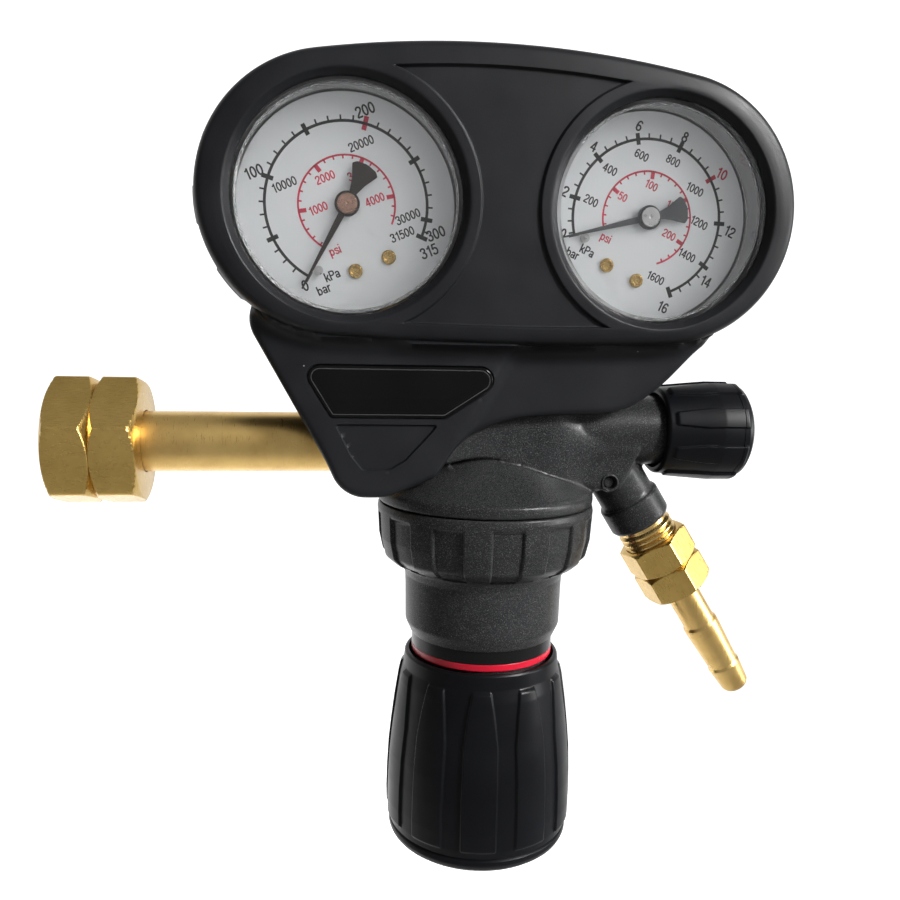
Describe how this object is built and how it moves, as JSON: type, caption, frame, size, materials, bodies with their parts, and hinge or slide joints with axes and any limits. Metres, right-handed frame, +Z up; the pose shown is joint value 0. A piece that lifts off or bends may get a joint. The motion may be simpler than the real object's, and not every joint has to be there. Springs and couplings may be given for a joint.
{
  "type": "gas pressure regulator",
  "caption": "Single-stage cylinder gas pressure regulator with two dial gauges in a rubber cover, an adjusting knob, a shut-off valve and a hose tail.",
  "frame": {"origin": "on the inlet nut's axis, where its thread starts", "axes": "+X along the inlet stem towards the body, +Z up, the gauges face -Y"},
  "size_m": [0.2053, 0.0632, 0.2271],
  "materials": {
    "brass_bright": "machined and brushed",
    "brass_inner": "machined",
    "body_paint": "dark grey sparkle paint",
    "steel": "plain",
    "bronze": "sintered",
    "seal_plastic": "plain",
    "diaphragm_rubber": "matt",
    "cover_rubber": "matt",
    "knob_plastic": "satin",
    "plate_gloss": "gloss",
    "band_black": "gloss",
    "ring_red": "gloss",
    "case_black": "satin",
    "dial_white": "printed matt white",
    "pointer_dark": "matt",
    "window_clear": "clear polycarbonate"
  },
  "bodies": {
    "regulator": {"inlet_stem": "brass_bright", "inlet_seal": "seal_plastic", "inlet_filter": "bronze", "body": "body_paint", "body_pin": "body_paint", "relief_valve": "brass_bright", "outlet_nipple": "brass_bright", "valve_cartridge": "brass_inner", "valve_seat": "seal_plastic", "poppet_spring": "steel", "diaphragm": "diaphragm_rubber", "slip_ring": "steel", "bonnet": "body_paint", "screw_insert": "brass_inner", "adjusting_spring": "steel", "label_band": "band_black", "colour_ring": "ring_red", "gland_nut": "brass_inner", "spindle_seal": "diaphragm_rubber", "gauge_cover": "cover_rubber", "label_plate": "plate_gloss", "dial_screws": "brass_bright", "stop_pins": "steel", "left_case": "case_black", "left_socket": "brass_inner", "left_bourdon": "brass_inner", "left_movement": "brass_inner", "left_dial": "dial_white", "left_window": "window_clear", "right_case": "case_black", "right_socket": "brass_inner", "right_bourdon": "brass_inner", "right_movement": "brass_inner", "right_dial": "dial_white", "right_window": "window_clear"},
    "inlet_nut": {"inlet_nut": "brass_bright"},
    "spring_carrier": {"spring_button": "steel"},
    "adjusting_knob": {"adjusting_knob": "knob_plastic", "adjusting_screw": "steel", "knob_nut": "steel", "knob_cap": "knob_plastic"},
    "valve_lift": {"diaphragm_plate": "brass_inner", "diaphragm_stud": "brass_inner", "poppet": "steel"},
    "outlet_disc": {"outlet_disc": "seal_plastic"},
    "outlet_valve": {"outlet_knob": "knob_plastic", "outlet_knob_cap": "knob_plastic", "outlet_spindle": "steel"},
    "hose_tail": {"hose_barb": "brass_bright"},
    "outlet_nut": {"outlet_nut": "brass_bright"},
    "left_pointer": {"left_pointer": "pointer_dark"},
    "right_pointer": {"right_pointer": "pointer_dark"},
    "left_sector": {"left_sector": "brass_inner"},
    "right_sector": {"right_sector": "brass_inner"}
  },
  "joints": [
    {"name": "inlet_nut_turn", "type": "hinge", "parent": "regulator", "child": "inlet_nut", "pos_m": [0, 0, 0], "axis": [1, 0, 0], "continuous": true},
    {"name": "screw_feed", "type": "slide", "parent": "regulator", "child": "spring_carrier", "axis": [0, 0, 1], "range_m": [0, 0.005], "deforming": ["adjusting_spring"]},
    {"name": "knob_turn", "type": "hinge", "parent": "spring_carrier", "child": "adjusting_knob", "pos_m": [0.1174, 0, -0.09], "axis": [0, 0, 1], "range_deg": [0, 1440]},
    {"name": "valve_stroke", "type": "slide", "parent": "regulator", "child": "valve_lift", "axis": [0, 0, 1], "range_m": [0, 0.0008], "deforming": ["diaphragm", "poppet_spring"]},
    {"name": "outlet_feed", "type": "slide", "parent": "regulator", "child": "outlet_disc", "axis": [1, 0, 0], "range_m": [0, 0.0025]},
    {"name": "outlet_knob_turn", "type": "hinge", "parent": "outlet_disc", "child": "outlet_valve", "pos_m": [0.1774, 0, 0.004], "axis": [1, 0, 0], "range_deg": [0, 900]},
    {"name": "hose_tail_slide", "type": "slide", "parent": "regulator", "child": "hose_tail", "axis": [0.5417, 0, -0.8406], "range_m": [0, 0.00668]},
    {"name": "outlet_nut_turn", "type": "hinge", "parent": "hose_tail", "child": "outlet_nut", "pos_m": [0.17453, 0, -0.03698], "axis": [0.5417, 0, -0.8406], "range_deg": [-1800, 0]},
    {"name": "left_pointer_turn", "type": "hinge", "parent": "regulator", "child": "left_pointer", "pos_m": [0.076, -0.0106, 0.0642], "axis": [0, 1, 0], "range_deg": [0, 263.4], "stiffness_Nm_per_rad": 0.0002, "springref_deg": -11.46},
    {"name": "left_sector_turn", "type": "hinge", "parent": "regulator", "child": "left_sector", "pos_m": [0.07986, -0.0106, 0.05552], "axis": [0, 1, 0], "range_deg": [-28, 0]},
    {"name": "right_pointer_turn", "type": "hinge", "parent": "regulator", "child": "right_pointer", "pos_m": [0.1588, -0.0106, 0.0642], "axis": [0, 1, 0], "range_deg": [0, 263.4], "stiffness_Nm_per_rad": 0.0002, "springref_deg": -11.46},
    {"name": "right_sector_turn", "type": "hinge", "parent": "regulator", "child": "right_sector", "pos_m": [0.15494, -0.0106, 0.05552], "axis": [0, 1, 0], "range_deg": [-28, 0]}
  ],
  "couplings": [
    {"joint": "knob_turn", "follows": "screw_feed", "rad_per_m": 5026.5},
    {"joint": "valve_stroke", "follows": "screw_feed", "ratio": 0.1599},
    {"joint": "outlet_knob_turn", "follows": "outlet_feed", "rad_per_m": 6283.2},
    {"joint": "outlet_nut_turn", "follows": "hose_tail_slide", "rad_per_m": -4699.5},
    {"joint": "left_sector_turn", "follows": "left_pointer_turn", "ratio": -0.1},
    {"joint": "right_sector_turn", "follows": "right_pointer_turn", "ratio": -0.1}
  ]
}
